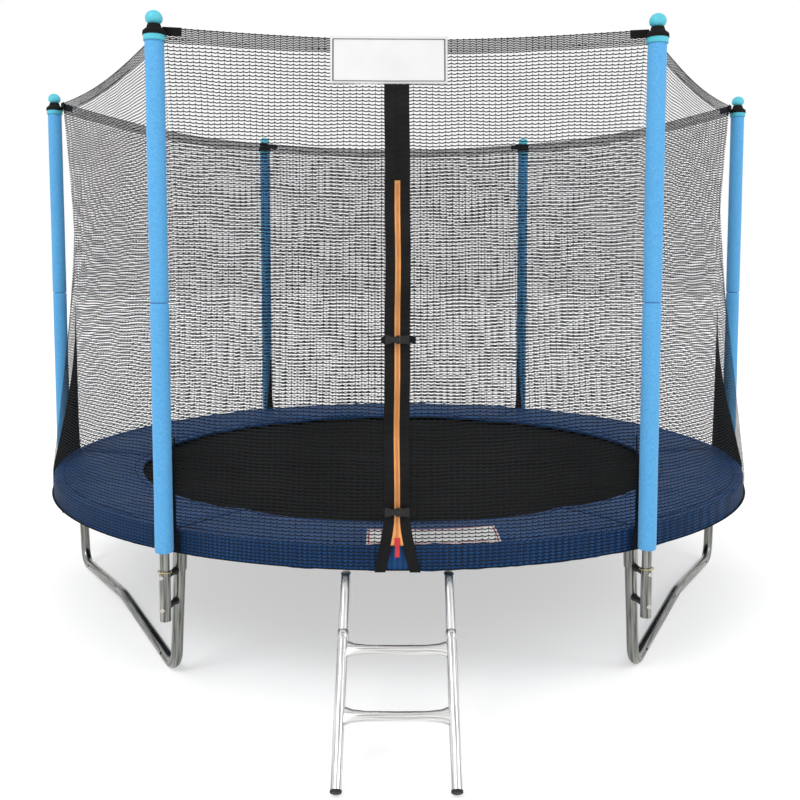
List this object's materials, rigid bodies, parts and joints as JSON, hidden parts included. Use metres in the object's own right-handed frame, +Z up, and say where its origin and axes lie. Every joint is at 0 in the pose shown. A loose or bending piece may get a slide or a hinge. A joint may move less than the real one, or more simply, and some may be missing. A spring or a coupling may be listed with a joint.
{
  "type": "trampoline",
  "caption": "Round trampoline on U-shaped tube legs, with foam-covered poles, a zip-up safety net, a padded spring cover and a hook-on ladder.",
  "frame": {"origin": "middle of the whole footprint, ladder included, on the ground", "axes": "+Z up, the ladder and the net's door at -Y, +X to the right as seen from the ladder"},
  "size_m": [2.5848, 2.849, 1.7493],
  "materials": {
    "galvanised_steel": "satin, drawn along the tube",
    "spring_steel": "satin",
    "ladder_steel": "bright",
    "blue_foam": "soft, matte PVC skin over foam",
    "cap_plastic": "moulded",
    "mat_cloth": "woven",
    "navy_cover": "woven PVC with a soft sheen",
    "black_net": "open knitted mesh",
    "black_webbing": "woven",
    "black_plastic": "moulded",
    "red_metal": "gloss",
    "white_cloth": "printed cloth, left blank"
  },
  "bodies": {
    "frame": {"rail_1": "galvanised_steel", "rail_2": "galvanised_steel", "rail_3": "galvanised_steel", "rail_4": "galvanised_steel", "rail_5": "galvanised_steel", "rail_6": "galvanised_steel", "leg_back_a": "galvanised_steel", "leg_back_b": "galvanised_steel", "leg_left_a": "galvanised_steel", "leg_left_b": "galvanised_steel", "leg_right_a": "galvanised_steel", "leg_right_b": "galvanised_steel", "pole_base_1": "galvanised_steel", "pole_base_2": "galvanised_steel", "pole_base_3": "galvanised_steel", "pole_base_4": "galvanised_steel", "pole_base_5": "galvanised_steel", "pole_base_6": "galvanised_steel", "pole_1": "galvanised_steel", "pole_2": "galvanised_steel", "pole_3": "galvanised_steel", "pole_4": "galvanised_steel", "pole_5": "galvanised_steel", "pole_6": "galvanised_steel", "foam_1": "blue_foam", "foam_2": "blue_foam", "foam_3": "blue_foam", "foam_4": "blue_foam", "foam_5": "blue_foam", "foam_6": "blue_foam", "cap_1": "cap_plastic", "cap_2": "cap_plastic", "cap_3": "cap_plastic", "cap_4": "cap_plastic", "cap_5": "cap_plastic", "cap_6": "cap_plastic", "spring_set_1": "spring_steel", "spring_set_2": "spring_steel", "spring_set_3": "spring_steel", "pad_1": "navy_cover", "pad_2": "navy_cover", "pad_3": "navy_cover", "pad_4": "navy_cover", "pad_5": "navy_cover", "pad_6": "navy_cover", "net_1": "black_net", "net_2": "black_net", "net_3": "black_net", "net_4": "black_net", "net_5": "black_net", "net_6": "black_net", "door_strip": "black_webbing", "buckle_upper_socket": "black_plastic", "buckle_lower_socket": "black_plastic", "label": "white_cloth"},
    "mat": {"jump_mat": "mat_cloth"},
    "slider": {"zip_slider": "red_metal"},
    "clip_upper": {"buckle_upper_clip": "black_plastic"},
    "clip_lower": {"buckle_lower_clip": "black_plastic"},
    "ladder": {"ladder": "ladder_steel"}
  },
  "joints": [
    {"name": "mat_bounce", "type": "slide", "parent": "frame", "child": "mat", "axis": [0, 0, 1], "range_m": [-0.15, 0], "stiffness_N_per_m": 4500, "springref_m": 0.02, "deforming": ["spring_set_1", "spring_set_2", "spring_set_3"]},
    {"name": "zip_slide", "type": "slide", "parent": "frame", "child": "slider", "axis": [0.0029, 0.126, 0.992], "range_m": [0, 0.88]},
    {"name": "upper_clip_release", "type": "slide", "parent": "frame", "child": "clip_upper", "axis": [0.9997, -0.0227, 0], "range_m": [0, 0.03]},
    {"name": "lower_clip_release", "type": "slide", "parent": "frame", "child": "clip_lower", "axis": [0.9997, -0.0227, 0], "range_m": [0, 0.03]},
    {"name": "ladder_lift", "type": "hinge", "parent": "frame", "child": "ladder", "pos_m": [-0.02716, -1.00602, 0.38502], "axis": [-0.9997, 0.0227, 0], "range_deg": [0, 8]}
  ]
}
